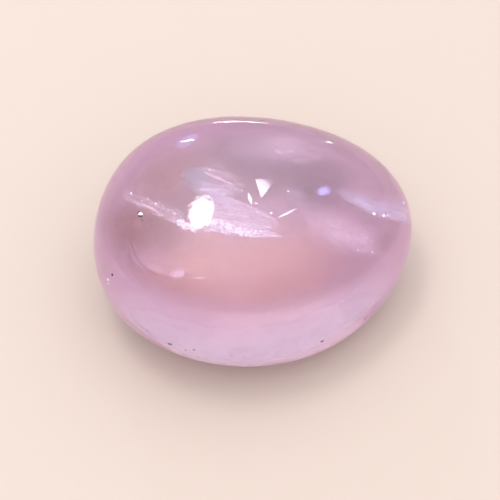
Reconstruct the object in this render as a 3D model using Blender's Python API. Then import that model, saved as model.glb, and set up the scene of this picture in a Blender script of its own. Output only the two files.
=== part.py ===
"""Tumbled rose quartz: one polished pebble of pale pink quartz, resting on the flat worn on its underside.

Run with: blender --background --python part.py
Units are metres and +Z is up. The origin is under the middle of the stone, on the surface that it rests on.
"""
import math

import bmesh
import bpy
from mathutils import Vector

MM = 0.001

# Overall size of the finished stone.
LENGTH = 34.0 * MM         # along X
WIDTH = 25.4 * MM          # along Y
HEIGHT = 19.7 * MM         # along Z, from the resting flat to the crown

# A tumbled stone starts as a broken lump. The drum wears its broken faces into low domes and rounds every
# edge between them. Each worn face is given by how far it lies from the heart of the stone. The sizes are
# those of the lump, which is then brought to the overall size above.
GIRDLE = (21.9, 24.2, 13.0, 18.0, 19.6, 21.5, 13.6, 16.6)   # upright faces, every 45 degrees from +X
SHOULDER = (16.6, 21.3, 15.7, 12.5)                          # faces that look up, every 90 degrees from 45
HEEL = (18.3, 16.9, 16.4, 19.0)                              # faces that look down, below the shoulders
CROWN = 11.9
SOLE = 9.0
SLANT = math.radians(45)   # how far the shoulder and heel faces tilt from upright
EDGE_SHARPNESS = 4.0       # 2 gives an even egg, and high values give a block with crisp edges

# The worn flat under the stone, which keeps it from rolling.
FLAT_DEPTH = 0.012         # how much of the lump's height is worn off its lowest point

MESH_LEVEL = 5             # an icosphere of this level gives the polished skin about 5,000 facets
RIM_SNAP = 0.03            # corners of the lump this near the flat's plane are moved onto it
SMOOTH_ANGLE = math.radians(30)

STONE_PINK = (0.66, 0.42, 0.50, 1.0)
POLISH_ROUGHNESS = 0.05
QUARTZ_IOR = 1.544
CLEARNESS = 0.7            # the stone is cloudy, so not all light passes straight through


def facing(azimuth, tilt):
    """The unit direction at an azimuth from +X towards +Y and a tilt above the horizon, in radians."""
    return Vector((
        math.cos(azimuth) * math.cos(tilt),
        math.sin(azimuth) * math.cos(tilt),
        math.sin(tilt),
    ))


def worn_faces():
    """Every worn face, as its outward direction and its distance from the heart of the stone."""
    faces = [(facing(0, math.pi / 2), CROWN), (facing(0, -math.pi / 2), SOLE)]
    belts = ((GIRDLE, 0.0, 0.0), (SHOULDER, math.pi / 4, SLANT), (HEEL, math.pi / 4, -SLANT))
    for distances, first_azimuth, tilt in belts:
        step = 2 * math.pi / len(distances)
        for index, distance in enumerate(distances):
            faces.append((facing(first_azimuth + index * step, tilt), distance))
    return faces


def skin_distance(direction, faces):
    """How far the polished skin lies from the heart of the stone in one direction.

    A sharp block would stop at its nearest face. A power mean of all the faces in reach rounds the edges
    between them and leaves each face a low dome.
    """
    reach = sum(
        (normal.dot(direction) / distance) ** EDGE_SHARPNESS
        for normal, distance in faces
        if normal.dot(direction) > 0
    )
    return reach ** (-1 / EDGE_SHARPNESS)


def extent(bm, axis):
    """The lowest and the highest coordinate of a mesh along one axis."""
    values = [vert.co[axis] for vert in bm.verts]
    return min(values), max(values)


def wear_skin(bm):
    """Pull each point of a unit ball out to the worn skin."""
    faces = worn_faces()
    for vert in bm.verts:
        direction = vert.co.normalized()
        vert.co = direction * skin_distance(direction, faces)


def wear_flat(bm):
    """Wear the flat that the stone rests on, and close the mesh with it."""
    low, high = extent(bm, 2)
    height_of_flat = low + FLAT_DEPTH * (high - low)
    bmesh.ops.bisect_plane(
        bm,
        geom=bm.verts[:] + bm.edges[:] + bm.faces[:],
        dist=RIM_SNAP,
        use_snap_center=True,
        plane_co=(0, 0, height_of_flat),
        plane_no=(0, 0, -1),
        clear_outer=True,
    )
    rim = [edge for edge in bm.edges if edge.is_boundary]
    bmesh.ops.contextual_create(bm, geom=rim)


def bring_to_size(bm):
    """Scale the stone to its overall size, centred on X and Y and standing on Z = 0."""
    for axis, size in enumerate((LENGTH, WIDTH, HEIGHT)):
        low, high = extent(bm, axis)
        start = 0.0 if axis == 2 else -size / 2
        for vert in bm.verts:
            vert.co[axis] = start + (vert.co[axis] - low) * size / (high - low)


def rose_quartz():
    """Pale pink quartz with a high polish."""
    material = bpy.data.materials.new("rose_quartz")
    material.use_nodes = True
    shader = material.node_tree.nodes["Principled BSDF"]
    shader.inputs["Base Color"].default_value = STONE_PINK
    shader.inputs["Roughness"].default_value = POLISH_ROUGHNESS
    shader.inputs["Metallic"].default_value = 0.0
    shader.inputs["IOR"].default_value = QUARTZ_IOR
    shader.inputs["Transmission Weight"].default_value = CLEARNESS
    return material


def make_stone():
    """The whole stone, as one closed body."""
    bm = bmesh.new()
    bmesh.ops.create_icosphere(bm, subdivisions=MESH_LEVEL, radius=1.0)
    wear_skin(bm)
    wear_flat(bm)
    bring_to_size(bm)
    bmesh.ops.recalc_face_normals(bm, faces=bm.faces[:])

    mesh = bpy.data.meshes.new("rose_quartz")
    bm.to_mesh(mesh)
    bm.free()
    mesh.shade_smooth()
    mesh.set_sharp_from_angle(angle=SMOOTH_ANGLE)
    mesh.materials.append(rose_quartz())

    stone = bpy.data.objects.new("rose_quartz", mesh)
    bpy.context.scene.collection.objects.link(stone)
    return stone


for old in list(bpy.data.objects):
    bpy.data.objects.remove(old)

make_stone()
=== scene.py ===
import math

import bpy
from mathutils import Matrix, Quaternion, Vector


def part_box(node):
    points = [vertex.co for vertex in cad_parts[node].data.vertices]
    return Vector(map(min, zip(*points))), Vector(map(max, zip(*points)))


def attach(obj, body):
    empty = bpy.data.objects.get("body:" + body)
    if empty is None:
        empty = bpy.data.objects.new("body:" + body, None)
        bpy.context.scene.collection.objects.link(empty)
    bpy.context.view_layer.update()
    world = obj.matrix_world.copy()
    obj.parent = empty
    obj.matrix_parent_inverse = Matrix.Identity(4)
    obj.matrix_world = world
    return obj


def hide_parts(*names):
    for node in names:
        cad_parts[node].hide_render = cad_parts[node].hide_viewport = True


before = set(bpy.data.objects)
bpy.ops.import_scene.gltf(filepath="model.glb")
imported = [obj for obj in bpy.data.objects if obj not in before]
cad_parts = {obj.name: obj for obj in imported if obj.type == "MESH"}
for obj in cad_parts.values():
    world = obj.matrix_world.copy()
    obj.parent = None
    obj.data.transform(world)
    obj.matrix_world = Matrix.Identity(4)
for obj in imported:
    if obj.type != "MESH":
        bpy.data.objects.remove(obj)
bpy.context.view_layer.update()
scene = bpy.context.scene
MM = 0.001


# ---------------------------------------------------------------- the stone
# The real piece is a lump of pale pink quartz, tumbled with grit until its broken faces are low domes and
# its edges are round, then polished. It is one piece, and it rests on a small flat worn on its underside.
# The skin is worked out from the list of worn faces: each one's direction and distance from the heart.

GIRDLE = (21.9, 24.2, 13.0, 18.0, 19.6, 21.5, 13.6, 16.6)   # upright faces, every 45 degrees from +X
SHOULDER = (16.6, 21.3, 15.7, 12.5)                          # faces that look up, every 90 degrees
HEEL = (18.3, 16.9, 16.4, 19.0)                              # faces that look down, below them
CROWN = 11.9
SOLE = 9.0
EDGE_SHARPNESS = 4.0      # 2 gives an even egg, and high values give a block with crisp edges
FLAT_DEPTH = 0.012        # share of the lump's height that is worn off its lowest point
SKIN_LEVEL = 7            # an icosphere of this level has a facet every 0.2 mm
POLISH_GRAIN = 2.8        # the last grit left this many low bumps in a millimetre
POLISH_DEPTH = 0.0065 * MM
POLISH_ROUGHNESS = 0.03
QUARTZ_IOR = 1.544
CRYSTAL_TINT = (1.0, 0.92, 0.96, 1.0)
ABSORBED_COLOUR = (1.0, 0.62, 0.81, 1.0)     # what the pink crystal lets through
ABSORPTION = 46.0                            # per metre
MILK_COLOUR = (0.92, 0.79, 0.94, 1.0)        # what its fine milk scatters
MILK = 85.0                                  # per metre
MILK_FORWARD = 0.3                           # how far the scattered light keeps its way


class Number:
    """A number on its way through a node tree. Arithmetic on it adds Math nodes."""

    def __init__(self, socket):
        self.socket = socket
        self.tree = socket.id_data

    def math(self, operation, first, second):
        return add_node(self.tree, "ShaderNodeMath", {"operation": operation}, {0: first, 1: second})

    def __add__(self, other):
        return self.math("ADD", self, other)

    def __sub__(self, other):
        return self.math("SUBTRACT", self, other)

    def __rsub__(self, other):
        return self.math("SUBTRACT", other, self)

    def __mul__(self, other):
        return self.math("MULTIPLY", self, other)

    def __truediv__(self, other):
        return self.math("DIVIDE", self, other)

    def __rtruediv__(self, other):
        return self.math("DIVIDE", other, self)

    def __pow__(self, other):
        return self.math("POWER", self, other)

    def at_least(self, other):
        return self.math("MAXIMUM", self, other)

    def at_most(self, other):
        return self.math("MINIMUM", self, other)

    __radd__ = __add__
    __rmul__ = __mul__


def add_node(tree, kind, settings=None, sockets=None, output=0):
    """Adds a node: its settings first, then its sockets' values or links. Returns one output as a Number."""
    node = tree.nodes.new(kind)
    for name, value in (settings or {}).items():
        setattr(node, name, value)
    for name, value in (sockets or {}).items():
        if isinstance(value, Number):
            tree.links.new(value.socket, node.inputs[name])
        else:
            node.inputs[name].default_value = value
    return Number(node.outputs[output])


def vector_math(operation, *values, output=0):
    """A Vector Math node on wrapped vectors or plain triples."""
    tree = next(value.tree for value in values if isinstance(value, Number))
    sockets = dict(enumerate(values))
    if operation == "SCALE":
        sockets = {0: values[0], "Scale": values[1]}
    return add_node(tree, "ShaderNodeVectorMath", {"operation": operation}, sockets, output)


def split(vector):
    """The X, Y and Z of a wrapped vector."""
    return [add_node(vector.tree, "ShaderNodeSeparateXYZ", {}, {0: vector}, output=axis) for axis in range(3)]


def join(tree, x, y, z):
    """A vector of three numbers."""
    return add_node(tree, "ShaderNodeCombineXYZ", {}, {0: x, 1: y, 2: z})


def new_shape_tree(name, **sizes):
    """A Geometry Nodes tree with a named input for each size, and its inputs as Numbers by name."""
    tree = bpy.data.node_groups.new(name, "GeometryNodeTree")
    tree.interface.new_socket("Geometry", in_out="OUTPUT", socket_type="NodeSocketGeometry")
    tree.interface.new_socket("Marks", in_out="INPUT", socket_type="NodeSocketGeometry")
    kinds = {int: "NodeSocketInt", float: "NodeSocketFloat", tuple: "NodeSocketVector"}
    for label, value in sizes.items():
        tree.interface.new_socket(label, in_out="INPUT", socket_type=kinds[type(value)])
    entry = tree.nodes.new("NodeGroupInput")
    return tree, {label: Number(entry.outputs[label]) for label in ("Marks", *sizes)}


def mesh_from(tree, name, geometry, material, sizes, marks=None):
    """Ends a shape tree, evaluates it with its sizes on a mesh of marks, and returns a plain mesh object."""
    real = add_node(tree, "GeometryNodeRealizeInstances", {}, {0: geometry})
    finish = add_node(tree, "GeometryNodeSetMaterial", {}, {"Geometry": real, "Material": material})
    exit_node = tree.nodes.new("NodeGroupOutput")
    tree.links.new(finish.socket, exit_node.inputs[0])

    maker = bpy.data.objects.new(name + "_maker", marks or bpy.data.meshes.new(name + "_marks"))
    scene.collection.objects.link(maker)
    modifier = maker.modifiers.new("shape", "NODES")
    modifier.node_group = tree
    for item in tree.interface.items_tree:
        if item.in_out == "INPUT" and item.name in sizes:
            modifier[item.identifier] = sizes[item.name]
    evaluated = maker.evaluated_get(bpy.context.evaluated_depsgraph_get())
    mesh = bpy.data.meshes.new_from_object(evaluated)
    maker.modifiers.remove(modifier)
    bpy.data.objects.remove(maker)

    mesh.name = name
    mesh.materials.clear()
    mesh.materials.append(material)
    piece = bpy.data.objects.new(name, mesh)
    scene.collection.objects.link(piece)
    return piece


def worn_faces():
    """Every worn face, as its outward direction and its distance from the heart of the stone."""
    belts = (
        ((CROWN,), 0, 90),
        ((SOLE,), 0, -90),
        (GIRDLE, 0, 0),
        (SHOULDER, 45, 45),
        (HEEL, 45, -45),
    )
    for distances, first_azimuth, tilt in belts:
        for index, distance in enumerate(distances):
            azimuth = math.radians(first_azimuth + index * 360 / len(distances))
            level = math.cos(math.radians(tilt))
            up = math.sin(math.radians(tilt))
            yield Vector((math.cos(azimuth) * level, math.sin(azimuth) * level, up)), distance


def worn_skin(ball, sharpness):
    """Moves a unit ball's points out to the skin that a drum leaves on the worn faces."""
    tree = ball.tree
    direction = add_node(tree, "GeometryNodeInputPosition")
    reach = None
    for normal, distance in worn_faces():
        facing = vector_math("DOT_PRODUCT", direction, tuple(normal / distance), output=1)
        part = facing.at_least(0.0) ** sharpness
        reach = part if reach is None else reach + part
    skin = vector_math("SCALE", direction, reach ** (-1.0 / sharpness))
    return add_node(tree, "GeometryNodeSetPosition", {}, {"Geometry": ball, "Position": skin})


def brought_to_size(lump, length, width, height, flat_depth):
    """Wears the resting flat, then scales the lump to its size, centred on X and Y and standing on Z = 0."""
    tree = lump.tree
    low = split(add_node(tree, "GeometryNodeBoundBox", {}, {0: lump}, output=1))
    high = split(add_node(tree, "GeometryNodeBoundBox", {}, {0: lump}, output=2))
    x, y, z = split(add_node(tree, "GeometryNodeInputPosition"))
    flat = low[2] + flat_depth * (high[2] - low[2])
    place = join(
        tree,
        (x - (low[0] + high[0]) / 2.0) * length / (high[0] - low[0]),
        (y - (low[1] + high[1]) / 2.0) * width / (high[1] - low[1]),
        (z.at_least(flat) - flat) * height / (high[2] - flat),
    )
    return add_node(tree, "GeometryNodeSetPosition", {}, {"Geometry": lump, "Position": place})


def make_stone(material):
    """The polished skin, closed all round, in the box of the stone's solid."""
    low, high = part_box("rose_quartz")
    sizes = {
        "Length": high[0] - low[0],
        "Width": high[1] - low[1],
        "Height": high[2] - low[2],
        "Edge sharpness": EDGE_SHARPNESS,
        "Flat depth": FLAT_DEPTH,
        "Skin level": SKIN_LEVEL,
    }
    tree, given = new_shape_tree("worn_stone", **sizes)
    ball = add_node(
        tree, "GeometryNodeMeshIcoSphere", {}, {"Radius": 1.0, "Subdivisions": given["Skin level"]}
    )
    lump = worn_skin(ball, given["Edge sharpness"])
    stone = brought_to_size(lump, given["Length"], given["Width"], given["Height"], given["Flat depth"])
    smooth = add_node(tree, "GeometryNodeSetShadeSmooth", {}, {"Geometry": stone, "Shade Smooth": True})
    return mesh_from(tree, "polished_stone", smooth, material, sizes)


def new_material(name):
    """An empty material, with its tree and its output node."""
    material = bpy.data.materials.new(name)
    material.use_nodes = True
    material.node_tree.nodes.clear()
    return material, material.node_tree, material.node_tree.nodes.new("ShaderNodeOutputMaterial")


def rose_quartz():
    """Clear pink crystal with fine milk in it, under a polish that is almost perfect."""
    material, tree, out = new_material("rose_quartz")
    place = add_node(tree, "ShaderNodeTexCoord", {}, {}, output=3)
    grain = add_node(tree, "ShaderNodeTexNoise", {}, {
        "Vector": place, "Scale": POLISH_GRAIN / MM, "Detail": 2.0,
    })
    polish = add_node(tree, "ShaderNodeBump", {}, {
        "Strength": 1.0, "Distance": POLISH_DEPTH, "Height": grain,
    })
    shader = add_node(tree, "ShaderNodeBsdfPrincipled", {}, {
        "Base Color": CRYSTAL_TINT,
        "Normal": polish,
        "Roughness": POLISH_ROUGHNESS,
        "IOR": QUARTZ_IOR,
        "Transmission Weight": 1.0,
    })
    absorb = add_node(tree, "ShaderNodeVolumeAbsorption", {}, {
        "Color": ABSORBED_COLOUR, "Density": ABSORPTION,
    })
    scatter = add_node(tree, "ShaderNodeVolumeScatter", {}, {
        "Color": MILK_COLOUR, "Density": MILK, "Anisotropy": MILK_FORWARD,
    })
    inside = add_node(tree, "ShaderNodeAddShader", {}, {0: absorb, 1: scatter})
    tree.links.new(shader.socket, out.inputs["Surface"])
    tree.links.new(inside.socket, out.inputs["Volume"])
    return material


stone = make_stone(rose_quartz())
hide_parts("rose_quartz")
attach(stone, "root")


# ---------------------------------------------------------------- the veils
# Old cracks inside the crystal, healed long ago. Each left a thin curved sheet of tiny bubbles that shows as
# a white or lilac veil. Made the same way are a grey ghost, which is a painted reflection, and a pale line
# low on the left, which is painted light. A sheet is ruled between its near edge and its far edge, two curves
# in millimetres that are each given by a start, a point that they bend towards, and an end.

VEIL_LEVEL = 6             # an icosphere of this level, flattened, gives one veil about 20,000 facets
VEIL_THICKNESS = 0.05 * MM
VEIL_RIPPLE = 0.35 * MM
RIPPLES_PER_MM = 0.45
CURVE_STEPS = 32
RIPPLE_DETAIL = 2.0
MIST_NOISE = {"Scale": 0.55 / MM, "Detail": 6.0, "Roughness": 0.62}     # patches, about one in 2 mm
FIBRE_NOISE = {"Scale": 1.0, "Detail": 5.0}
POWDER_NOISE = {"Scale": 1.0, "Detail": 7.0, "Roughness": 0.75, "Distortion": 0.6}
MIST_ROUGHNESS = 0.4
FIBRES_ALONG = (2.5, -1.5)      # how fast the fibres' two directions run along the sheet
FIBRES_ACROSS = (1.2, 9.0)      # and across it
POWDER_ALONG = (8.0, -6.0)      # the same for the crushed powder
POWDER_ACROSS = (5.0, 22.0)
POWDER_LEVELS = (0.45, 0.7)     # noise levels at which powder starts to show and is whole
POWDER_EDGE = (0.5, 0.05)       # shares of the way across at which it starts and is whole


def mm(*point):
    """A point given in millimetres."""
    return tuple(value * MM for value in point)


def on_curve(tree, start, middle, end, share):
    """The place and the direction of travel at a share of the length of a curve bent towards its middle."""
    curve = add_node(tree, "GeometryNodeCurveQuadraticBezier", {}, {
        "Resolution": CURVE_STEPS, "Start": start, "Middle": middle, "End": end,
    })
    sockets = {"Curves": curve, "Factor": share}
    place = add_node(tree, "GeometryNodeSampleCurve", {"mode": "FACTOR"}, sockets, output=1)
    travel = add_node(tree, "GeometryNodeSampleCurve", {"mode": "FACTOR"}, sockets, output=2)
    return place, travel


def veil_sheet(tree, given):
    """A closed lens, as thin as its thickness, spread between the two edges.

    A ball is made square seen from above, so that the sheet fills its corners, and flattened.
    """
    ball = add_node(tree, "GeometryNodeMeshIcoSphere", {}, {"Radius": 1.0, "Subdivisions": VEIL_LEVEL})
    x, y, z = split(add_node(tree, "GeometryNodeInputPosition"))
    reach = (x * x + y * y) ** 0.5
    widest = (x * x).at_least(y * y).at_least(1e-6) ** 0.5
    along = (x * reach / widest + 1.0) * 0.5
    across = (y * reach / widest + 1.0) * 0.5
    sheet = join(tree, along, across, 0.0)
    marked = add_node(tree, "GeometryNodeStoreNamedAttribute", {"data_type": "FLOAT_VECTOR"}, {
        "Geometry": ball, "Name": "sheet", 3: sheet,
    })
    near, travel = on_curve(tree, given["Near start"], given["Near middle"], given["Near end"], along)
    far, _ = on_curve(tree, given["Far start"], given["Far middle"], given["Far end"], along)
    crossing = vector_math("SUBTRACT", far, near)
    normal = vector_math("NORMALIZE", vector_math("CROSS_PRODUCT", travel, crossing))
    place = vector_math("ADD", near, vector_math("SCALE", crossing, across))
    ripple = add_node(tree, "ShaderNodeTexNoise", {"noise_dimensions": "4D"}, {
        "Vector": vector_math("SCALE", place, 1.0 / MM), "W": given["Seed"], "Scale": given["Ripples per mm"],
        "Detail": RIPPLE_DETAIL,
    })
    lift = (ripple - 0.5) * given["Ripple"] + z * given["Thickness"] * 0.5
    spread = add_node(tree, "GeometryNodeSetPosition", {}, {
        "Geometry": marked, "Position": vector_math("ADD", place, vector_math("SCALE", normal, lift)),
    })
    return add_node(tree, "GeometryNodeSetShadeSmooth", {}, {"Geometry": spread, "Shade Smooth": True})


def ease(low, high, number):
    """0 at low, 1 at high, and a soft ramp between them."""
    return add_node(number.tree, "ShaderNodeMapRange", {"interpolation_type": "SMOOTHSTEP"}, {
        "Value": number, "From Min": low, "From Max": high,
    })


def veil_material(name, seed, colour, strength, patches, fade,
                  softness=1.0, tear=0.0, streaks=0.0, crushed=0.0):
    """A milky sheet of mist, patchy or streaked, with a soft or torn rim and a crushed white near edge.

    patches gives the mist level at which the sheet starts to show and the level at which it is whole.
    fade gives the share of the sheet over which it thins at its start, end, near edge and far edge.
    """
    material, tree, out = new_material(name)
    place = add_node(tree, "ShaderNodeTexCoord", {}, {}, output=3)
    sheet = add_node(tree, "ShaderNodeAttribute", {"attribute_name": "sheet"}, {}, output=1)
    along, across, _ = split(sheet)
    rim = (ease(0.0, fade[0], along) * ease(0.0, fade[1], 1.0 - along)
           * ease(0.0, fade[2], across) * ease(0.0, fade[3], 1.0 - across))
    mist = add_node(tree, "ShaderNodeTexNoise", {"noise_dimensions": "4D"}, {
        "Vector": place, "W": seed, **MIST_NOISE,
    })
    body = mist
    if streaks:
        combed = join(
            tree,
            along * FIBRES_ALONG[0] + across * FIBRES_ACROSS[0],
            along * FIBRES_ALONG[1] + across * FIBRES_ACROSS[1],
            seed,
        )
        fibres = add_node(tree, "ShaderNodeTexNoise", {}, {"Vector": combed, **FIBRE_NOISE})
        body = mist * (1.0 - streaks) + fibres * streaks
    alpha = ease(patches[0], patches[1], body + (rim - 1.0) * tear) * strength
    if crushed:
        broken = join(
            tree,
            along * POWDER_ALONG[0] + across * POWDER_ACROSS[0],
            along * POWDER_ALONG[1] + across * POWDER_ACROSS[1],
            seed,
        )
        powder = add_node(tree, "ShaderNodeTexNoise", {}, {"Vector": broken, **POWDER_NOISE})
        alpha = alpha + ease(*POWDER_LEVELS, powder) * ease(*POWDER_EDGE, across) * crushed
    alpha = (alpha * (rim / softness).at_most(1.0)).at_most(1.0)
    shader = add_node(tree, "ShaderNodeBsdfPrincipled", {}, {
        "Base Color": colour, "Roughness": MIST_ROUGHNESS, "Alpha": alpha,
    })
    tree.links.new(shader.socket, out.inputs["Surface"])
    return material


def make_veil(name, near, far, seed, ripple=VEIL_RIPPLE, **mist):
    """One veil between its near and far edges, with its mist as veil_material says."""
    sizes = {
        "Near start": mm(*near[0]), "Near middle": mm(*near[1]), "Near end": mm(*near[2]),
        "Far start": mm(*far[0]), "Far middle": mm(*far[1]), "Far end": mm(*far[2]),
        "Thickness": VEIL_THICKNESS, "Ripple": ripple, "Ripples per mm": RIPPLES_PER_MM, "Seed": seed,
    }
    material = veil_material(name, seed, **mist)
    tree, given = new_shape_tree(name + "_shape", **sizes)
    veil = mesh_from(tree, name, veil_sheet(tree, given), material, sizes)
    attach(veil, "root")


LILAC_WHITE = (0.9, 0.85, 1.0, 1.0)
PINK_WHITE = (0.97, 0.84, 0.92, 1.0)
BLUE_WHITE = (0.84, 0.82, 1.0, 1.0)
VIOLET = (0.56, 0.52, 1.0, 1.0)
PALE_ASH = (0.33, 0.48, 0.56, 1.0)

# The widest healed crack, with white powder along its front edge.
make_veil(
    "main_veil",
    near=((-4.9, -3.6, 17.5), (-1.9, -4.9, 17.3), (2.9, -3.4, 15.7)),
    far=((-5.0, 1.7, 15.4), (-0.9, 1.0, 15.5), (3.0, -1.7, 14.8)),
    colour=LILAC_WHITE, strength=0.32, patches=(0.25, 0.62), fade=(0.1, 0.25, 0.04, 0.08),
    softness=0.5, tear=0.35, streaks=0.55, crushed=1.0, seed=3.0,
)
# Its torn end on the left.
make_veil(
    "left_wisps",
    near=((-13.7, 1.7, 15.2), (-10.7, -1.6, 17.1), (-6.6, -3.6, 17.2)),
    far=((-12.8, 3.8, 13.4), (-10.1, 1.8, 15.7), (-6.0, -0.3, 15.8)),
    colour=PINK_WHITE, strength=0.6, patches=(0.4, 0.8), fade=(0.22, 0.1, 0.15, 0.5),
    softness=0.7, tear=0.35, streaks=0.6, crushed=0.6, seed=7.0,
)
# A bluish veil that runs down to the right end.
make_veil(
    "right_veil",
    near=((7.5, 1.9, 15.8), (12.0, -1.3, 14.9), (16.2, 2.4, 8.5)),
    far=((7.4, 3.6, 14.2), (10.8, 3.7, 13.1), (15.0, 5.3, 8.4)),
    colour=BLUE_WHITE, strength=0.6, patches=(0.1, 0.75), fade=(0.3, 0.1, 0.35, 0.9),
    streaks=0.3, crushed=0.3, seed=11.0,
)
# A faint grey patch behind the main veil, a painted reflection: the ghost of the main lamp inside the stone.
make_veil(
    "ghost_cloud",
    near=((-8.9, 1.2, 16.4), (-6.4, -2.0, 16.8), (-2.9, 0.4, 17.1)),
    far=((-8.4, 4.9, 15.2), (-5.9, 7.3, 15.3), (-2.7, 4.4, 15.8)),
    colour=PALE_ASH, strength=0.26, patches=(0.0, 0.6), fade=(0.5, 0.5, 0.5, 0.5),
    softness=0.6, tear=0.7, streaks=0.3, seed=5.0, ripple=0.1 * MM,
)
# White mist at the foot of the grey patch, part of the same painted reflection.
make_veil(
    "ghost_mist",
    near=((-7.2, 0.0, 17.0), (-3.8, -1.2, 17.4), (-0.2, -0.6, 17.2)),
    far=((-6.9, 3.2, 16.1), (-3.4, 4.4, 16.1), (0.8, 2.2, 16.4)),
    colour=LILAC_WHITE, strength=0.52, patches=(0.2, 0.8), fade=(0.3, 0.5, 0.35, 0.6),
    softness=0.8, tear=0.4, streaks=0.6, seed=25.0, ripple=0.1 * MM,
)
# Loose pink wisps behind the main veil.
make_veil(
    "middle_wisps",
    near=((-6.2, 2.5, 17.4), (-4.5, 0.7, 17.4), (-0.5, -0.5, 17.1)),
    far=((-5.0, 6.1, 15.7), (-2.2, 6.0, 15.8), (1.4, 2.6, 15.6)),
    colour=PINK_WHITE, strength=0.5, patches=(0.35, 0.7), fade=(0.2, 0.5, 0.35, 0.7),
    softness=0.7, tear=0.2, streaks=0.5, seed=9.0,
)
# A few faint wisps to the right of them.
make_veil(
    "right_wisps",
    near=((1.5, 0.4, 16.9), (3.1, -0.5, 16.3), (5.2, -0.8, 15.6)),
    far=((2.4, 3.5, 15.5), (4.0, 3.2, 14.9), (6.5, 1.3, 14.1)),
    colour=LILAC_WHITE, strength=0.22, patches=(0.35, 0.75), fade=(0.4, 0.5, 0.4, 0.5),
    softness=0.8, tear=0.1, streaks=0.6, seed=15.0, ripple=0.08 * MM,
)
# A small crack that shines violet.
make_veil(
    "violet_patch",
    near=((5.9, 1.5, 15.6), (6.7, 0.7, 15.6), (7.8, 1.8, 15.5)),
    far=((5.9, 1.9, 15.7), (6.8, 3.3, 15.5), (7.7, 2.2, 15.5)),
    colour=VIOLET, strength=0.9, patches=(0.0, 0.6), fade=(0.4, 0.4, 0.35, 0.5),
    tear=0.3, seed=33.0, ripple=0.0,
)
# A thin cloud over the right half.
make_veil(
    "right_cloud",
    near=((3.9, -2.0, 15.2), (8.4, -5.8, 11.6), (14.1, -1.0, 7.9)),
    far=((3.2, 1.5, 13.7), (7.9, 1.9, 13.2), (13.3, 2.1, 9.6)),
    colour=PINK_WHITE, strength=0.45, patches=(0.1, 0.75), fade=(0.4, 0.4, 0.5, 0.5),
    tear=0.15, streaks=0.3, seed=13.0, ripple=0.08 * MM,
)
# A thin cloud towards the back.
make_veil(
    "upper_cloud",
    near=((-4.0, 4.2, 15.9), (0.9, 3.3, 16.0), (7.8, 5.0, 13.9)),
    far=((-3.3, 8.8, 14.0), (1.0, 10.1, 13.2), (8.6, 8.6, 11.4)),
    colour=PINK_WHITE, strength=0.4, patches=(0.2, 0.85), fade=(0.4, 0.4, 0.5, 0.4),
    streaks=0.2, seed=17.0,
)
# A pale line that curves round the left front, painted light: the edge of light focused on the floor below.
make_veil(
    "low_sheet",
    near=((-11.3, -0.9, 11.2), (-12.6, -4.1, 8.6), (-1.4, -5.0, 10.8)),
    far=((-9.6, -0.4, 10.8), (-9.8, -2.9, 9.3), (-1.0, -3.0, 10.2)),
    colour=PINK_WHITE, strength=0.46, patches=(-0.1, 0.7), fade=(0.35, 0.5, 0.04, 1.0),
    seed=19.0, ripple=0.0,
)
# A bright patch on that line.
make_veil(
    "low_patch",
    near=((-8.3, -5.1, 11.3), (-7.5, -5.7, 11.3), (-6.6, -5.5, 11.8)),
    far=((-7.8, -4.3, 11.6), (-7.2, -4.2, 12.0), (-6.3, -4.5, 12.0)),
    colour=PINK_WHITE, strength=0.45, patches=(0.1, 0.6), fade=(0.5, 0.2, 0.3, 0.6),
    tear=0.25, streaks=0.4, seed=23.0, ripple=0.0,
)


# ---------------------------------------------------------------- the milky lower front and the painted warm middle
# The stone isn't one colour all through. Milk lies under the skin of the lower front, partly painted light
# where light gathers there. The middle is a warmer pink, which is painted light from a warm floor showing
# through.
# Each zone is a sheet of faint colour inside the stone, made as the veils are.

LAVENDER = (0.94, 0.92, 1.0, 1.0)
PEACH = (0.84, 0.48, 0.16, 1.0)

# Pale lavender milk under the skin of the lower front, partly painted light: it lightens the front where
# light gathers.
make_veil(
    "low_haze",
    near=((-15.3, -4.0, 7.0), (-1.8, -20.3, 0.8), (15.2, -1.6, 5.2)),
    far=((-15.4, -0.8, 10.8), (-1.3, -15.1, 15.6), (15.5, 1.9, 8.0)),
    colour=LAVENDER, strength=0.68, patches=(-0.3, 0.6), fade=(0.3, 0.3, 0.3, 0.9),
    seed=41.0, ripple=0.0,
)
# Painted light in the middle: a warm tint standing in for a warm floor showing through the crystal.
make_veil(
    "warm_heart",
    near=((-12.0, -5.0, 10.0), (-1.0, -14.0, 8.5), (11.0, -4.5, 9.0)),
    far=((-10.0, 2.0, 12.5), (-0.5, 1.0, 13.0), (11.0, 2.5, 11.5)),
    colour=PEACH, strength=0.3, patches=(-0.3, 0.6), fade=(0.25, 0.5, 0.5, 0.5),
    seed=51.0, ripple=0.0,
)


# ---------------------------------------------------------------- the painted shade
# Darker zones deep in the stone are painted shade. They stand in for the shaded floor seen through the
# crystal, and darken what lies behind them. They are sheets of faint brown and purple, made as the veils are.

PURPLE_SHADE = (0.2, 0.08, 0.13, 1.0)
BROWN_SHADE = (0.28, 0.1, 0.03, 1.0)
RED_SHADE = (0.13, 0.03, 0.0, 1.0)
BROWN = (0.5, 0.22, 0.08, 1.0)

# A broad zone of painted shade across the back half.
make_veil(
    "smoky_back",
    near=((-12.5, -5.0, 10.5), (-0.5, 3.5, 17.0), (13.5, 0.0, 9.5)),
    far=((-11.0, 7.0, 11.6), (-1.0, 13.5, 12.0), (11.0, 7.0, 9.0)),
    colour=RED_SHADE, strength=0.46, patches=(-0.3, 0.6), fade=(0.35, 0.35, 0.35, 0.35),
    seed=57.0,
)
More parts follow.
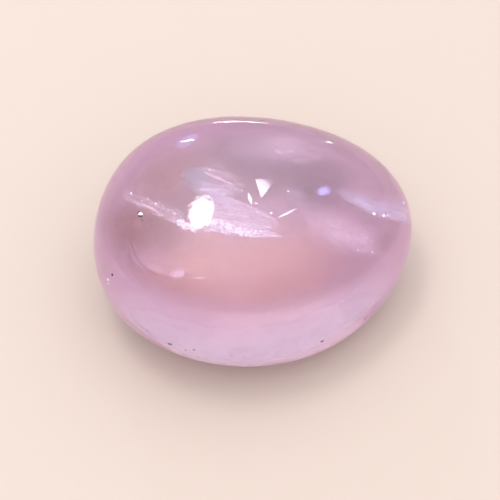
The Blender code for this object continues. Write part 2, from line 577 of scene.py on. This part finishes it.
# A faint brown zone of painted shade below the pale line in the left front.
make_veil(
    "smoky_low",
    near=((-12.4, -3.2, 9.6), (-8.2, -7.2, 8.8), (-1.2, -6.4, 9.5)),
    far=((-11.3, -0.9, 11.2), (-12.6, -4.1, 8.6), (-1.4, -5.0, 10.8)),
    colour=BROWN, strength=0.24, patches=(-0.3, 0.6), fade=(0.12, 0.5, 0.9, 0.03),
    seed=59.0, ripple=0.0,
)
# Smaller zones of painted shade, one dark line among them along the pale line.
for place, colour, strength, seed, near, far in (
    (
        "upper_left", BROWN_SHADE, 1.0, 43.0,
        ((-13.4, 1.7, 11.4), (-9.5, -0.9, 13.2), (-3.5, 0.8, 13.4)),
        ((-11.3, 6.8, 11.6), (-9.2, 9.3, 12.7), (-2.3, 7.4, 12.9)),
    ),
    (
        "middle", PURPLE_SHADE, 1.0, 29.0,
        ((0.5, 0.2, 13.5), (4.8, -0.4, 12.3), (10.0, 2.2, 11.3)),
        ((1.0, 6.9, 11.4), (4.7, 9.2, 9.8), (9.9, 7.5, 9.4)),
    ),
    (
        "top", PURPLE_SHADE, 0.9, 53.0,
        ((-7.2, 5.0, 12.3), (-1.2, 1.7, 12.9), (6.8, 5.5, 10.4)),
        ((-6.1, 9.0, 11.6), (-1.6, 10.0, 11.3), (6.7, 8.8, 9.6)),
    ),
    (
        "right", PURPLE_SHADE, 0.2, 31.0,
        ((10.3, -1.9, 8.2), (13.2, -0.1, 6.7), (14.5, 2.1, 7.8)),
        ((8.8, 0.6, 8.5), (10.3, 2.3, 7.9), (12.9, 3.2, 8.6)),
    ),
    (
        "left", BROWN_SHADE, 0.9, 37.0,
        ((-15.4, -3.0, 10.4), (-16.1, 0.2, 11.7), (-14.3, 3.7, 13.0)),
        ((-4.8, -4.8, 12.6), (-5.2, -2.4, 14.1), (-5.2, 1.6, 14.5)),
    ),
    (
        "arc", BROWN_SHADE, 0.6, 47.0,
        ((-11.8, 1.0, 12.5), (-12.0, -3.5, 9.3), (-7.7, -5.1, 11.0)),
        ((-11.6, 0.9, 12.6), (-11.7, -3.4, 9.6), (-7.6, -5.0, 11.1)),
    ),
):
    make_veil(
        "smoky_" + place, near, far, seed=seed,
        colour=colour, strength=strength, patches=(-0.1, 0.8), fade=(0.5, 0.5, 0.5, 0.5),
    )


# ---------------------------------------------------------------- the open cracks
# Small cracks that never healed. Each holds a film of air, which throws the light back, so it shows as a
# bright chip or needle. A crack is a thin closed lens between its corners.

CRACK_THICKNESS = 0.04                      # in millimetres, as the corners are
SPLINTER_FACING = Vector((0, -0.08, 1))     # a splinter lies nearly level


def film_material(name, colour, mirror=0.6, strength=1.0, roughness=0.2, fading=None):
    """A bright film of air. It may fade as X plus Y grows from a first to a last value in millimetres."""
    material, tree, out = new_material(name)
    alpha = strength
    if fading:
        x, y, _ = split(add_node(tree, "ShaderNodeTexCoord", {}, {}, output=3))
        alpha = ease(fading[1] * MM, fading[0] * MM, x + y) * strength
    shader = add_node(tree, "ShaderNodeBsdfPrincipled", {}, {
        "Base Color": colour, "Metallic": mirror, "Roughness": roughness, "Alpha": alpha,
    })
    tree.links.new(shader.socket, out.inputs["Surface"])
    return material


def make_crack(name, corners, material):
    """A thin lens with these corners, in millimetres, and a peak on each side of its middle."""
    points = [Vector(corner) for corner in corners]
    middle = sum(points, Vector()) / len(points)
    normal = (points[1] - points[0]).cross(points[2] - points[0]).normalized()
    peaks = [middle + normal * CRACK_THICKNESS / 2, middle - normal * CRACK_THICKNESS / 2]
    count = len(points)
    faces = [(i, (i + 1) % count, count) for i in range(count)]
    faces += [((i + 1) % count, i, count + 1) for i in range(count)]
    mesh = bpy.data.meshes.new(name)
    mesh.from_pydata([point * MM for point in points + peaks], [], faces)
    mesh.materials.append(material)
    crack = bpy.data.objects.new(name, mesh)
    scene.collection.objects.link(crack)
    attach(crack, "root")


def make_splinter(name, tip, tail, width, material):
    """A long crack: a four-cornered lens from its tip to its tail, widest in its middle."""
    tip = Vector(tip)
    tail = Vector(tail)
    side = (tail - tip).cross(SPLINTER_FACING).normalized() * width / 2
    middle = (tip + tail) / 2
    make_crack(name, (tip, middle + side, tail, middle - side), material)


bright_film = film_material("bright_film", (1.0, 0.98, 1.0, 1.0))
pink_film = film_material("pink_film", (1.0, 0.78, 0.86, 1.0))
fading_film = film_material("fading_film", (1.0, 0.98, 1.0, 1.0), mirror=0.4, fading=(0.6, 4.2))
crushed_film = film_material("crushed_film", (1.0, 0.97, 1.0, 1.0), strength=0.9, roughness=0.3)
shaded_film = film_material("shaded_film", (0.3, 0.12, 0.16, 1.0), mirror=0.0, strength=0.6)
faint_film = film_material("faint_film", (0.98, 0.88, 0.94, 1.0), mirror=0.1, strength=0.5, roughness=0.4)

make_crack("triangle_crack", ((0.0, 2.4, 16.7), (0.6, 0.4, 16.5), (2.0, 2.4, 16.7)), fading_film)
make_splinter("short_splinter", (-0.7, 0.7, 17.2), (-0.3, -0.7, 17.1), 0.34, bright_film)
make_splinter("long_splinter", (2.1, -1.6, 16.1), (4.1, -0.5, 16.2), 0.24, bright_film)
make_splinter("pink_splinter", (-0.2, -0.4, 17.0), (0.4, -0.5, 17.0), 0.16, pink_film)
make_splinter("arc_splinter", (-6.2, -5.7, 12.0), (-4.7, -5.7, 12.0), 0.2, faint_film)
make_splinter("chip_tail", (-11.5, -1.7, 16.9), (-11.1, -2.4, 16.9), 0.12, shaded_film)


# ---------------------------------------------------------------- the crumbs
# Where a healed crack was crushed it left crumbs, tiny flakes that each catch the light. They are scattered
# along the edges of the veils, and a few lie alone.

FLAKE_SHAPE = (1.0, 0.55, 0.3)   # a flake's length, width and thickness as shares of its length
FACING_SPREAD = 0.3              # how far a flake may lean from its facing
SMALL_FLAKES = 1.5               # above 1, small flakes outnumber large ones
CLUMPS_PER_MM = 1.1
CLUMP_LEVELS = (0.36, 0.56)      # noise levels at which flakes start to grow and are at their largest
DICE = {"FLOAT_VECTOR": (0, 1, 0), "FLOAT": (2, 3, 1)}     # a random value's low, high and output sockets


def loose_flakes(points, size_range, spread, facing, seed):
    """Instances of a tiny flake on points, each moved by up to the spread and nearly square to its facing."""
    tree = points.tree

    def dice(kind, low, high, extra):
        low_socket, high_socket, output = DICE[kind]
        sockets = {low_socket: low, high_socket: high, "Seed": seed + extra}
        return add_node(tree, "FunctionNodeRandomValue", {"data_type": kind}, sockets, output=output)

    shaken = add_node(tree, "GeometryNodeSetPosition", {}, {
        "Geometry": points,
        "Offset": vector_math("MULTIPLY", dice("FLOAT_VECTOR", (-1, -1, -1), (1, 1, 1), 0), spread),
    })
    flake = add_node(tree, "GeometryNodeMeshIcoSphere", {}, {"Radius": 0.5, "Subdivisions": 2})
    flattened = add_node(tree, "GeometryNodeTransform", {}, {"Geometry": flake, "Scale": FLAKE_SHAPE})
    lumps = add_node(tree, "ShaderNodeTexNoise", {}, {"Scale": CLUMPS_PER_MM / MM, "Detail": 1.0})
    clump = ease(*CLUMP_LEVELS, lumps)
    share = dice("FLOAT", 0.0, 1.0, 1) ** SMALL_FLAKES * clump
    grown = share * (size_range[1] - size_range[0]) + size_range[0]
    lean = dice("FLOAT_VECTOR", (-FACING_SPREAD, -FACING_SPREAD, 0), (FACING_SPREAD, FACING_SPREAD, 0), 3)
    return add_node(tree, "GeometryNodeInstanceOnPoints", {}, {
        "Points": shaken, "Instance": flattened, "Scale": grown,
        "Rotation": add_node(tree, "FunctionNodeAlignRotationToVector", {}, {
            "Rotation": dice("FLOAT_VECTOR", (0, 0, 0), (math.tau, math.tau, math.tau), 2),
            "Vector": vector_math("ADD", lean, facing),
        }),
    })


def make_crumbs(name, start, middle, end, count, size_range, spread, facing, material, seed):
    """Flakes scattered round a curve from its start to its end, bent towards its middle."""
    sizes = {
        "Start": mm(*start), "Middle": mm(*middle), "End": mm(*end), "Count": count,
        "Smallest": size_range[0] * MM, "Largest": size_range[1] * MM,
        "Spread": mm(*spread), "Facing": facing, "Seed": seed,
    }
    tree, given = new_shape_tree(name + "_shape", **sizes)
    curve = add_node(tree, "GeometryNodeCurveQuadraticBezier", {}, {
        "Resolution": CURVE_STEPS, "Start": given["Start"], "Middle": given["Middle"], "End": given["End"],
    })
    points = add_node(tree, "GeometryNodeCurveToPoints", {}, {"Curve": curve, "Count": given["Count"]})
    size_range = (given["Smallest"], given["Largest"])
    flakes = loose_flakes(points, size_range, given["Spread"], given["Facing"], given["Seed"])
    crumbs = mesh_from(tree, name, flakes, material, sizes)
    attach(crumbs, "root")


make_crumbs(
    "veil_crumbs",
    start=(-4.2, -2.9, 17.6), middle=(-2.2, -3.7, 17.4), end=(0.4, -3.9, 16.9),
    count=340, size_range=(0.06, 0.44), spread=(0.4, 0.4, 0.15), facing=(0.0, -0.25, 1.0),
    material=crushed_film, seed=1,
)
make_crumbs(
    "flash_crumbs",
    start=(-8.0, -2.2, 17.6), middle=(-6.6, -4.0, 17.5), end=(-4.0, -3.4, 17.6),
    count=320, size_range=(0.06, 0.4), spread=(0.5, 0.4, 0.12), facing=(-0.1, -0.2, 1.0),
    material=crushed_film, seed=2,
)
make_crumbs(
    "left_crumbs",
    start=(-13.1, 1.7, 16.0), middle=(-11.0, 0.0, 17.0), end=(-8.4, -1.4, 17.2),
    count=110, size_range=(0.04, 0.26), spread=(0.6, 0.5, 0.15), facing=(-0.25, -0.1, 1.0),
    material=crushed_film, seed=3,
)
make_crumbs(
    "right_crumbs",
    start=(11.8, 0.7, 13.9), middle=(13.6, 0.6, 12.6), end=(15.6, 2.6, 10.4),
    count=120, size_range=(0.04, 0.28), spread=(0.3, 0.35, 0.15), facing=(0.4, -0.2, 0.9),
    material=crushed_film, seed=4,
)


SPECK_WIDTH = 0.8          # as a share of its length


def make_specks(name, places, widths, thinness, lift, material, levelled=0.0):
    """A flat speck at each place, given in millimetres, laid on the nearest skin and lifted off it.

    It lies along the skin where levelled is 0, and halfway between the skin and the level where it is 1.
    """
    marks = bpy.data.meshes.new(name + "_marks")
    marks.from_pydata([mm(*place) for place in places], [], [])
    width_of = marks.attributes.new("width", "FLOAT", "POINT")
    for mark, width in enumerate(widths):
        width_of.data[mark].value = width * MM
    sizes = {"Thinness": thinness, "Lift": lift * MM}
    tree, given = new_shape_tree(name + "_shape", **sizes)
    skin = add_node(tree, "GeometryNodeObjectInfo", {}, {"Object": stone}, output=4)
    nearest = {"data_type": "FLOAT_VECTOR"}
    spot = add_node(tree, "GeometryNodeSampleNearestSurface", nearest, {
        "Mesh": skin, "Value": add_node(tree, "GeometryNodeInputPosition"),
    })
    outward = add_node(tree, "GeometryNodeSampleNearestSurface", nearest, {
        "Mesh": skin, "Value": add_node(tree, "GeometryNodeInputNormal"),
    })
    points = add_node(tree, "GeometryNodeMeshToPoints", {}, {"Mesh": given["Marks"]})
    marked = add_node(tree, "GeometryNodeStoreNamedAttribute", {"data_type": "FLOAT_VECTOR"}, {
        "Geometry": points, "Name": "outward", 3: outward,
    })
    laid = add_node(tree, "GeometryNodeSetPosition", {}, {"Geometry": marked, "Position": spot})
    direction = add_node(tree, "GeometryNodeInputNamedAttribute", {"data_type": "FLOAT_VECTOR"}, {
        "Name": "outward",
    })
    lifted = add_node(tree, "GeometryNodeSetPosition", {}, {
        "Geometry": laid, "Offset": vector_math("SCALE", direction, given["Lift"]),
    })
    tilted = vector_math("ADD", direction, (0.0, 0.0, levelled))
    speck = add_node(tree, "GeometryNodeMeshIcoSphere", {}, {"Radius": 0.5, "Subdivisions": 3})
    flat = add_node(tree, "GeometryNodeTransform", {}, {
        "Geometry": speck, "Scale": join(tree, 1.0, SPECK_WIDTH, given["Thinness"]),
    })
    across = add_node(tree, "GeometryNodeInputNamedAttribute", {"data_type": "FLOAT"}, {"Name": "width"})
    specks = add_node(tree, "GeometryNodeInstanceOnPoints", {}, {
        "Points": lifted, "Instance": flat, "Scale": across,
        "Rotation": add_node(tree, "FunctionNodeAlignRotationToVector", {}, {"Vector": tilted}),
    })
    piece = mesh_from(tree, name, specks, material, sizes, marks)
    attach(piece, "root")


# Single bright crumbs, half a millimetre under the skin.
SPARK_PLACES = (
    (3.1, 0.6, 17.0), (3.8, 4.0, 16.2), (1.4, -0.6, 16.8), (-1.4, 0.3, 16.7),
    (12.1, 0.5, 13.9), (13.2, 0.8, 13.1), (15.4, 3.7, 10.7), (10.5, -1.8, 13.4),
    (10.0, -3.1, 12.9), (11.6, -2.7, 11.9), (1.6, -6.1, 15.3), (-6.7, -10.6, 11.8),
    (-12.2, 1.2, 16.4), (-13.0, 1.7, 16.1), (-9.7, -0.6, 17.2), (1.3, -1.7, 16.4),
)
SPARK_WIDTHS = (
    0.2, 0.12, 0.16, 0.16, 0.5, 0.44, 0.36, 0.16, 0.2, 0.24, 0.12, 0.12, 0.3, 0.18, 0.26, 0.26,
)
make_specks(
    "sparks", SPARK_PLACES, SPARK_WIDTHS, thinness=0.3, lift=-0.5, material=bright_film, levelled=1.0
)


# ---------------------------------------------------------------- the pits
# Tiny pits that the polish never reached, most of them low round the front. Dark grit is packed in them, and
# one on the left shoulder is a fresh chip that glitters.

GRIT_COLOUR = (0.02, 0.008, 0.014, 1.0)
GRIT_ROUGHNESS = 0.8
PIT_THINNESS = 0.2         # what fills a pit is this share of its length in thickness


def plain_material(name, colour, roughness):
    """One colour and one roughness all over."""
    material, tree, out = new_material(name)
    shader = add_node(tree, "ShaderNodeBsdfPrincipled", {}, {"Base Color": colour, "Roughness": roughness})
    tree.links.new(shader.socket, out.inputs["Surface"])
    return material


dark_grit = plain_material("dark_grit", GRIT_COLOUR, GRIT_ROUGHNESS)
GRIT_PLACES = (
    (-14.6, -5.8, 12.3), (-15.0, -6.1, 10.9), (-14.2, -6.3, 12.5), (-11.1, -10.2, 8.4), (-8.8, -11.4, 7.5),
    (-8.6, -11.4, 7.6), (-7.1, -11.9, 7.2), (-6.2, -12.2, 7.8), (-2.3, -12.7, 7.5), (-1.0, -12.7, 7.2),
    (7.1, -10.6, 6.7), (11.7, -7.5, 5.8), (2.4, -12.2, 7.5), (-11.78, -1.45, 17.4), (-11.65, -1.35, 17.5),
    (-11.4, -1.6, 17.5), (-11.45, -1.85, 17.5), (-11.7, -1.8, 17.4),
)
GRIT_WIDTHS = (
    0.36, 0.16, 0.14, 0.22, 0.4, 0.3, 0.24, 0.3, 0.2, 0.16, 0.36, 0.28, 0.16, 0.24, 0.22, 0.2, 0.3, 0.26,
)
make_specks("grit", GRIT_PLACES, GRIT_WIDTHS, thinness=PIT_THINNESS, lift=0.0, material=dark_grit)

CHIP_PLACES = (
    (-11.6, -1.6, 17.5), (-11.4, -1.7, 17.5), (-15.1, -5.7, 11.1), (-15.0, -5.9, 10.7), (-7.2, -11.8, 7.4),
)
CHIP_WIDTHS = (0.42, 0.22, 0.3, 0.22, 0.14)
make_specks("chips", CHIP_PLACES, CHIP_WIDTHS, thinness=PIT_THINNESS, lift=0.0, material=bright_film)


# ---------------------------------------------------------------- the floor
# The stone lies on a plain pale table with a dull finish. The table is a hair below the stone, so that the
# two surfaces don't touch.

FLOOR_HALF = 1.0
FLOOR_GAP = 0.1 * MM
FLOOR_COLOUR = (0.375, 0.305, 0.235, 1.0)
FLOOR_ROUGHNESS = 0.7
FLOOR_CORNERS = ((-1, -1), (1, -1), (1, 1), (-1, 1))

floor_mesh = bpy.data.meshes.new("floor")
floor_mesh.from_pydata(
    [(x * FLOOR_HALF, y * FLOOR_HALF, -FLOOR_GAP) for x, y in FLOOR_CORNERS],
    [],
    [(0, 1, 2, 3)],
)
floor_mesh.materials.append(plain_material("pale_floor", FLOOR_COLOUR, FLOOR_ROUGHNESS))
floor = bpy.data.objects.new("floor", floor_mesh)
scene.collection.objects.link(floor)


# ---------------------------------------------------------------- the light
# A soft white ceiling, brightest overhead, lights the stone from all sides. A few oval lamps are seen only as
# reflections in its polish and as the light that they throw on the table.

HORIZON_LIGHT = 0.72
OVERHEAD_LIGHT = 3.9
HORIZON_COLOUR = (0.93, 0.92, 1.2, 1.0)
OVERHEAD_COLOUR = (0.92, 0.94, 1.0, 1.0)

world = bpy.data.worlds.new("studio")
world.use_nodes = True
sky = world.node_tree
height = split(add_node(sky, "ShaderNodeTexCoord"))[2].at_least(0.0)
overhead = height * height
light = HORIZON_LIGHT + (OVERHEAD_LIGHT - HORIZON_LIGHT) * overhead
tint = add_node(sky, "ShaderNodeMix", {"data_type": "RGBA"}, {
    "Factor": overhead, 6: HORIZON_COLOUR, 7: OVERHEAD_COLOUR,
}, output=2)
sky.links.new(tint.socket, sky.nodes["Background"].inputs["Color"])
sky.links.new(light.socket, sky.nodes["Background"].inputs["Strength"])
scene.world = world


def add_lamp(name, aim, direction, distance, size, brightness, colour=(1.0, 1.0, 1.0), turn=0.0):
    """An oval lamp of one brightness, in W per m2 sr, that looks at its aim from a direction.

    Its aim is in millimetres, its distance and size are in metres, and its turn is in degrees.
    """
    data = bpy.data.lights.new(name, "AREA")
    data.shape = "ELLIPSE"
    data.size = size[0]
    data.size_y = size[1]
    data.energy = brightness * math.pi * math.pi * size[0] * size[1] / 4
    data.color = colour
    lamp = bpy.data.objects.new(name, data)
    scene.collection.objects.link(lamp)
    toward = Vector(direction).normalized()
    lamp.location = Vector(aim) * MM + toward * distance
    facing = toward.to_track_quat("Z", "Y") @ Quaternion((0, 0, 1), math.radians(turn))
    lamp.rotation_euler = facing.to_euler()
    lamp.visible_transmission = False
    lamp.visible_camera = False


# The main lamp, nearly overhead. It makes the large highlight on the crown.
add_lamp(
    "key",
    aim=(-5.4, -2.5, 19.2), direction=(-0.222, 0.176, 0.959), distance=0.3, size=(0.066, 0.094),
    brightness=17.0, turn=-79.0,
)
# A cold lamp behind the stone on the left, and the blue glow round it.
add_lamp(
    "cool",
    aim=(-6.9, 6.4, 18.9), direction=(-0.269, 0.855, 0.443), distance=0.35, size=(0.032, 0.015),
    brightness=46.0, colour=(0.8, 0.86, 1.0), turn=-25.0,
)
add_lamp(
    "cool_glow",
    aim=(-6.9, 6.4, 18.9), direction=(-0.272, 0.855, 0.44), distance=0.36, size=(0.06, 0.12),
    brightness=3.5, colour=(0.36, 0.46, 1.0), turn=-25.0,
)
# A long low lamp behind the stone, which draws a line along the top of its rim.
add_lamp(
    "rim_strip",
    aim=(-1.2, 9.6, 18.0), direction=(0.012, 0.992, -0.125), distance=0.12, size=(0.03, 0.005),
    brightness=20.0,
)
# Two tiny lamps low on the right, which make two dots on the rim.
add_lamp(
    "rim_glint",
    aim=(7.3, 7.1, 17.4), direction=(0.411, 0.903, 0.128), distance=0.15, size=(0.004, 0.005),
    brightness=10.0,
)
add_lamp(
    "rim_spark",
    aim=(7.8, 7.3, 17.2), direction=(0.415, 0.909, 0.04), distance=0.15, size=(0.0035, 0.0035),
    brightness=26.0,
)


# ---------------------------------------------------------------- the camera
# It looks down at the stone from the front. The milk and the veils need many bounces of light to stay
# bright.

CAMERA_ELEVATION = math.radians(60)
CAMERA_DISTANCE = 0.2
CAMERA_TARGET = Vector((-0.42, -1.08, 9.23)) * MM
SENSOR_WIDTH = 36.0
FRAME_PIXELS = 500
MM_PER_PIXEL = 0.1056      # at the target
FRAME_WIDTH = FRAME_PIXELS * MM_PER_PIXEL * MM
NEAREST_SEEN = 0.01
VOLUME_BOUNCES = 6
LIGHT_BOUNCES = 16
VEIL_BOUNCES = 32

camera_data = bpy.data.cameras.new("camera")
camera_data.sensor_width = SENSOR_WIDTH
camera_data.lens = SENSOR_WIDTH * CAMERA_DISTANCE / FRAME_WIDTH
camera_data.clip_start = NEAREST_SEEN
camera = bpy.data.objects.new("camera", camera_data)
scene.collection.objects.link(camera)
back = Vector((0, -math.cos(CAMERA_ELEVATION), math.sin(CAMERA_ELEVATION)))
camera.location = CAMERA_TARGET + back * CAMERA_DISTANCE
camera.rotation_euler = back.to_track_quat("Z", "Y").to_euler()
scene.camera = camera

scene.view_settings.view_transform = "Standard"
scene.cycles.volume_bounces = VOLUME_BOUNCES
scene.cycles.max_bounces = LIGHT_BOUNCES
scene.cycles.transmission_bounces = LIGHT_BOUNCES
scene.cycles.transparent_max_bounces = VEIL_BOUNCES
